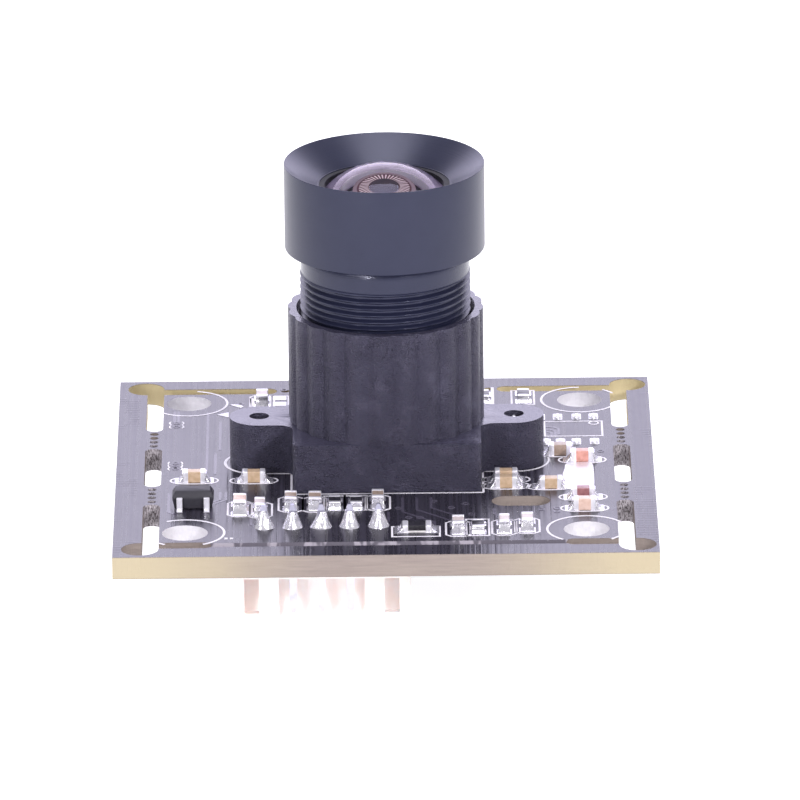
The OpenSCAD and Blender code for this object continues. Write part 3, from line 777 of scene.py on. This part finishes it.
def make_copper(covered):
    """Routed copper under the mask: strips with 45 degree bends, and rings round the vias."""
    routes = (
        ((-11.6, -5.4), (-11.6, -7.0), (-12.6, -8.0), (-12.6, -11.2)),
        ((-11.2, -5.4), (-11.2, -7.1), (-12.2, -8.1), (-12.2, -11.0)),
        ((-9.4, -11.2), (-9.4, -12.4), (-8.8, -13.0)),
        ((-6.7, -10.0), (-6.7, -12.2), (-6.6, -12.8)),
        ((-4.6, -10.0), (-4.6, -12.8)),
        ((0.2, -10.0), (0.2, -12.0), (-0.6, -12.8)),
        ((1.2, -7.0), (1.2, -10.0), (3.4, -12.2), (3.4, -13.0)),
        ((2.2, -7.0), (2.2, -9.6), (5.0, -12.4)),
        ((3.2, -7.0), (3.2, -9.2), (6.4, -12.4)),
        ((7.6, -9.4), (7.6, -10.6), (9.8, -12.8)),
        ((11.4, 8.0), (12.0, 8.0), (12.4, 7.6), (12.4, 6.3)),
        ((11.4, 7.45), (11.8, 7.45), (12.15, 7.1), (12.15, 6.0)),
        ((11.4, 6.95), (11.6, 6.95), (11.9, 6.65), (11.9, 5.6)),
        ((-15.0, 12.2), (-15.0, 9.9)), ((-14.7, 12.2), (-14.7, 9.9)),
        ((-15.2, -5.6), (-15.2, -9.6), (-14.6, -10.2)),
        ((-12.0, 3.0), (-12.0, -1.6)), ((-12.6, 12.0), (-12.6, -1.2)), ((-11.7, 9.9), (-11.7, 3.6)),
    )
    skins = [ribbon(route, 0.2, PRINT_LOW, COPPER_HIGH) for route in routes]
    vias = ((-14.83, 9.66), (-14.83, 8.9), (-14.82, 0.9), (-14.82, 0.3), (-14.81, -0.3),
            (-14.83, 0.1), (12.0, -9.6), (12.0, -10.3), (1.6, -11.2), (2.4, -11.2), (3.4, -7.8),
            (4.6, -9.2), (5.6, -8.4), (-7.2, -11.6), (-0.9, -10.9), (0.9, -9.2), (6.0, -10.6),
            (7.9, -11.3), (10.9, -9.8), (-10.3, 13.73), (-7.2, 16.83), (11.2, 2.9), (15.3, 2.6))
    for spot in vias:
        skins.append(lathe(((0.13, PRINT_LOW), (0.27, PRINT_LOW), (0.25, COPPER_HIGH + 0.012),
                            (0.16, COPPER_HIGH + 0.012)), 20, spot))
    make_piece("covered_copper", skins, [covered], "board")


def tinned_patch():
    """Flat tinned pad beside the right-hand capacitors: straight right side, wavy rounded left side."""
    t = np.linspace(0, 1, 25)
    left = np.column_stack([12.62 + 0.09 * np.sin(t * 9.0) + 0.42 * np.clip(t - 0.86, 0, 1) * 7 * t ** 20,
                            -5.6 + t * 5.75])
    right = np.column_stack([14.72 - 0.3 * (1 - t) ** 14 - 0.25 * t ** 18, -5.66 + t * 5.95])
    outline = np.concatenate([right, left[::-1]])
    middle = outline.mean(0)
    rings = [np.column_stack([middle + (outline - middle) * share, np.full(len(outline), height)])
             for share, height in ((1.0, PRINT_LOW), (1.0, BOARD_TOP + 0.02), (0.96, BOARD_TOP + 0.045),
                                   (0.6, BOARD_TOP + 0.06))]
    return loft(rings)


def flat_pad(corners_xy, lift=0.03):
    """Flush tinned patch with the given corners, its rim eased down to the board."""
    outline = np.asarray(corners_xy, float)
    middle = outline.mean(0)
    rings = [np.column_stack([middle + (outline - middle) * share, np.full(len(outline), height)])
             for share, height in ((1.0, PRINT_LOW), (1.0, BOARD_TOP + lift / 2), (0.94, BOARD_TOP + lift))]
    return loft(rings)


def make_pads(tin):
    """Tinned pads that carry no part, most with a low drop of solder."""
    skins = [tinned_patch()]
    for y, spots in ((10.2, (11.14, 12.37, 13.71, 14.93)), (4.75, (11.47, 12.5, 13.62, 14.91))):
        for x in spots:
            skins.append(shaped(stacked(((0.66, 1.3, 0.14, PRINT_LOW), (0.66, 1.3, 0.14, BOARD_TOP + 0.02))),
                                0, (x, y, 0)))
            skins.append(dome((x, y - 0.1), 0.31, 0.56, BOARD_TOP, BOARD_TOP + 0.24))
    skins.append(flat_pad(((-11.96, 11.44), (-11.13, 10.88), (-11.14, 11.95))))
    skins.append(flat_pad(((-11.1, 13.7), (-10.27, 12.87), (-10.06, 13.32), (-10.5, 13.62))))
    for y in (13.75, 15.0):
        skins.append(shaped(stacked(((0.95, 0.8, 0.06, PRINT_LOW), (0.95, 0.8, 0.06, BOARD_TOP + 0.02))),
                            0, (-7.5, y, 0)))
    make_piece("tinned_pads", skins, [tin], "board")


# ---------------------------------------------------------------- chips and legs


def chip_skins(length, width, height, film):
    """Ceramic body, two wrapped ends, and the concave solder between each end and its pad."""
    body = cushioned(length - 0.1, width - 0.07, 0.0, height - 0.03, 0.05, 0.04)
    skins, tones = [body], [0]
    for side in (-1, 1):
        cap = cushioned(0.38, width, 0.0, height, 0.07, 0.06)
        skins.append(shaped(cap, 0, (side * (length / 2 - 0.19), 0, 0)))
        tones.append(1)
        t = np.linspace(0, 1, 7)
        reach = 0.05 + 0.34 * (1 - t) ** 2.4
        levels = [(r + 0.12, width + 0.12 * (1 - s) ** 2, 0.08, s * height * 0.86, (r - 0.12) / 2)
                  for r, s in zip(reach, t)]
        fillet = shaped(stacked(levels), 0 if side > 0 else 180, (side * length / 2, 0, 0))
        skins.append(fillet)
        tones.append(2)
        pad = stacked(((0.98, width + 0.3, 0.05, -0.005), (0.98, width + 0.3, 0.05, 0.022)))
        skins.append(shaped(pad, 0, (side * (length / 2 + 0.08), 0, 0)))
        tones.append(2)
    if film:
        skins.append(shaped(cushioned(length - 0.78, width - 0.02, height * 0.3, height + 0.005, 0.02, 0.02)))
        tones.append(3)
    return skins, tones


def make_chip(node, finishes):
    """One chip part where its CAD node stands."""
    low, high = corners(node)
    size = high - low
    turn = 0 if size[0] > size[1] else 90
    length, width = (size[0], size[1]) if turn == 0 else (size[1], size[0])
    skins, tones = chip_skins(length, width, size[2], len(finishes) > 3)
    centre = (low + high) / 2
    placed = [shaped(skin, turn, (centre[0], centre[1], BOARD_TOP)) for skin in skins]
    make_piece(f"{node}_chip", placed, finishes, "board", [node], tones)


def make_under_capacitors(finishes):
    """The eight underside capacitors, hung below the board by turning the chip over."""
    spots = ((-6.4, 3.6, 90), (-6.4, -1.4, 90), (5.6, 3.4, 90), (5.6, 0.6, 90),
             (-2.6, 7.2, 0), (0.6, 7.2, 0), (2.2, -5.2, 0), (-1.2, -5.2, 0))
    placed, tones = [], []
    for x, y, turn in spots:
        skins, chip_tones = chip_skins(1.6, 0.85, 0.8, False)
        for points, faces in skins:
            over = points * (1, -1, -1)
            placed.append(shaped((over, faces), turn, (x, y, BOARD_UNDER)))
        tones += chip_tones
    make_piece("underside_chips", placed, finishes, "board", ["underside_capacitors"], tones)


def solder_cone(centre, height, lean, seed):
    """Solder round a contact: its radius falls along a power curve, with a lobed foot and a slight lean."""
    t = np.linspace(0, 1, 19)
    angle = np.arange(48) / 48 * TAU
    radius = 0.34 + 0.4 * (1 - t) ** 1.55
    lobes = 0.035 * np.sin(angle * 3 + seed) + 0.03 * np.sin(angle * 2 + 2.1 * seed)
    dents = 0.045 * np.sin(angle * 4 + 3.1 * seed)
    rings = []
    for r, s in zip(radius, t):
        reach = r * (1 + lobes * (1 - s) + dents * math.sin(math.pi * s))
        rings.append(np.column_stack([centre[0] + reach * np.cos(angle) + lean[0] * s ** 1.5,
                                      centre[1] + reach * np.sin(angle) + lean[1] * s ** 1.5,
                                      np.full(48, BOARD_TOP - 0.005 + height * s)]))
    tip = np.array((centre[0] + lean[0], centre[1] + lean[1], 0))
    for share, rise in ((0.9, 0.045), (0.7, 0.08), (0.3, 0.095)):
        rings.append(rings[18] * (share, share, 1) + tip * (1 - share, 1 - share, 0) + (0, 0, rise))
    return loft(rings)


def make_solder_joints(solder):
    """Five cones of solder on the header's contacts, none quite like the next."""
    for number, (lean, rise) in enumerate((((-0.04, 0.02), 1.18), ((0.03, 0.0), 1.08),
                                           ((0.1, 0.05), 1.1), ((-0.02, 0.03), 1.16),
                                           ((0.03, -0.02), 1.2)), 1):
        low, high = corners(f"solder_joint_{number}")
        centre = (low[:2] + high[:2]) / 2
        cone = solder_cone(centre, rise, lean, 1.3 * number)
        make_piece(f"solder_cone_{number}", [cone], [solder], "board",
                   [f"solder_joint_{number}"], crease=60)


def make_regulator(black):
    """Regulator body: four sloping sides that meet at the legs' parting line."""
    low, high = corners("regulator_body")
    length, width = high[0] - low[0], high[1] - low[1]
    centre = (low + high) / 2
    foot, mid, top = low[2], BOARD_TOP + 0.9, high[2]
    levels = [(length - 0.34, width - 0.2, 0.03, foot), (length - 0.3, width - 0.16, 0.04, foot + 0.02),
              (length, width, 0.05, mid - 0.09), (length, width, 0.05, mid + 0.06),
              (length - 0.42, width - 0.42, 0.05, top - 0.05), (length - 0.47, width - 0.47, 0.05, top - 0.02),
              (length - 0.54, width - 0.54, 0.05, top)]
    skin = shaped(stacked(levels), 0, (centre[0], centre[1], 0))
    make_piece("regulator_moulding", [skin], [black], "board", ["regulator_body"], crease=30)


# ---------------------------------------------------------------- assembly

aim_camera()
bpy.context.scene.view_settings.view_transform = "Standard"
floor_half = 3.0
floor_height = min(corners(node)[0][2] for node in ("header_housing", "circuit_board")) * MM - 0.00005
floor_points = np.array([(x, y, 0) for x, y in ((-1, -1), (1, -1), (1, 1), (-1, 1))]) * floor_half
floor_mesh = bpy.data.meshes.new("studio_floor")
floor_mesh.from_pydata((floor_points + (0, 0, floor_height)).tolist(), [], [(0, 1, 2, 3)])
floor_mesh.materials.append(make_floor_finish())
floor = bpy.data.objects.new("studio_floor", floor_mesh)
bpy.context.scene.collection.objects.link(floor)

sky = bpy.data.worlds.new("studio_air")
sky.use_nodes = True
sky.node_tree.nodes["Background"].inputs[0].default_value = (0.95, 0.93, 1.0, 1.0)
sky.node_tree.nodes["Background"].inputs[1].default_value = 0.45
bpy.context.scene.world = sky
softbox("back_panel", (0.0, 1.1, 0.42), (0, 0, 0), (2.4, 0.62), 12.5, (0.82, 0.78, 1.0))
softbox("top_panel", (0.0, 0.1, 0.9), (0, 0, 0), (0.5, 0.4), 4, (0.95, 0.93, 1.0))
softbox("small_key", studio_place(-24.0, 11.0, 1.2), (0, 0, 0.015), (0.10, 0.06), 2.4, (1.0, 0.98, 0.98))
softbox("left_panel", studio_place(-36.0, 20.0, 1.3), (0, 0, 0.01), (0.7, 0.4), 4.0, (0.97, 0.95, 1.0))
softbox("right_key", studio_place(33.0, 24.0, 1.2), (0, 0, 0.01), (0.13, 0.1), 8.0, (1.0, 0.98, 1.0))

black_mask = make_board_finish()
covered_copper = make_trace_finish()
white_print = make_print_finish()
holder_black = make_holder_finish()
lens_black = make_anodised_finish()
inner_black = make_inner_finish()
front_glass = make_front_glass()
inner_glass = make_inner_glass()
filter_glass = make_glass_finish("filter_glass", 260.0, 1.8, tone(0.66, 0.88, 0.94)).material
sensor_ceramic = make_sensor_finish()
nylon = make_nylon_finish()
steel = make_metal_finish("screw_steel", tone(0.62, 0.62, 0.66), tone(0.42, 0.42, 0.46), 0.24, 0.006)
tin = make_metal_finish("tin", tone(0.88, 0.87, 0.93), tone(0.74, 0.73, 0.80), 0.30, 0.012, 0.55)
solder = make_metal_finish("solder", tone(0.90, 0.89, 0.94), tone(0.62, 0.60, 0.68), 0.14, 0.045, 0.8)
contact = make_metal_finish("contact_tin", tone(0.66, 0.65, 0.80), tone(0.56, 0.55, 0.70), 0.25, 0.006)
chip_black = make_moulding_finish()
# brown and pale are copies of the chips' ceramic with light painted in: brown is painted shade for tops that
# reflect the dark holder, pale is a painted sheen for tops that reflect the bright panel
CERAMICS = {
    "tan": make_ceramic_finish("ceramic_tan", tone(0.60, 0.44, 0.30), tone(0.50, 0.35, 0.22)),
    "brown": make_ceramic_finish("ceramic_tan_painted_shade", tone(0.42, 0.32, 0.26), tone(0.33, 0.24, 0.19)),
    "salmon": make_ceramic_finish("ceramic_salmon", tone(0.72, 0.36, 0.30), tone(0.60, 0.27, 0.22)),
    "red": make_ceramic_finish("ceramic_red", tone(0.36, 0.16, 0.17), tone(0.27, 0.11, 0.12)),
    "peach": make_ceramic_finish("ceramic_peach", tone(0.76, 0.56, 0.48), tone(0.68, 0.47, 0.38)),
    "pale": make_ceramic_finish("ceramic_tan_painted_sheen", tone(0.66, 0.58, 0.58), tone(0.56, 0.47, 0.46)),
}
alumina = make_ceramic_finish("alumina", tone(0.80, 0.78, 0.78), tone(0.70, 0.68, 0.68))
glaze = make_ceramic_finish("black_glaze", tone(0.016, 0.015, 0.02), tone(0.028, 0.026, 0.034))

NODE_FINISHES = {
    "circuit_board": black_mask, "lens_holder": holder_black,
    "holder_screw_left": steel, "holder_screw_right": steel, "lens_barrel": lens_black,
    "front_element": front_glass, "front_retaining_ring": inner_black,
    "second_element": inner_glass, "aperture_spacer": inner_black, "third_element": inner_glass,
    "rear_spacer": inner_black, "rear_element": inner_glass, "rear_retaining_ring": inner_black,
    "infrared_filter": filter_glass, "image_sensor": sensor_ceramic,
    "sensor_cover_glass": filter_glass, "header_housing": nylon, "regulator_body": chip_black,
    "regulator_legs": tin, "image_processor": chip_black, "memory_chip_body": chip_black,
    "memory_chip_legs": tin, "crystal_can": steel, "underside_capacitors": CERAMICS["tan"],
}
for name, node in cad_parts.items():
    if name.startswith("header_pin"):
        finish = contact
    elif name.startswith("solder_joint"):
        finish = solder
    elif name.startswith("capacitor"):
        finish = CERAMICS["tan"]
    elif name.startswith("resistor"):
        finish = glaze
    else:
        finish = NODE_FINISHES[name]
    node.data.materials.clear()
    node.data.materials.append(finish)

make_lens_barrel(lens_black)
softened("lens_holder", "moulded_lens_holder", holder_black, "board", 0.09)
softened("header_housing", "moulded_header", nylon, "board", 0.07)
softened("regulator_legs", "formed_legs", tin, "board", 0.05)
make_print(white_print)
make_copper(covered_copper)
make_pads(tin)
# chips given brown carry painted shade, chips given pale carry a painted sheen, each standing in for what
# their tops reflect
CAPACITOR_CERAMICS = ("tan", "tan", "peach", "pale", "brown", "brown", "brown", "pale", "pale", "pale",
                      "tan", "tan", "tan", "brown", "salmon", "red", "peach", "pale")
for number, ceramic in enumerate(CAPACITOR_CERAMICS, 1):
    make_chip(f"capacitor_{number}", [CERAMICS[ceramic], tin, solder])
for number in range(1, 7):
    make_chip(f"resistor_{number}", [alumina, tin, solder, glaze])
make_under_capacitors([CERAMICS["tan"], tin, solder])
make_solder_joints(solder)
make_regulator(chip_black)
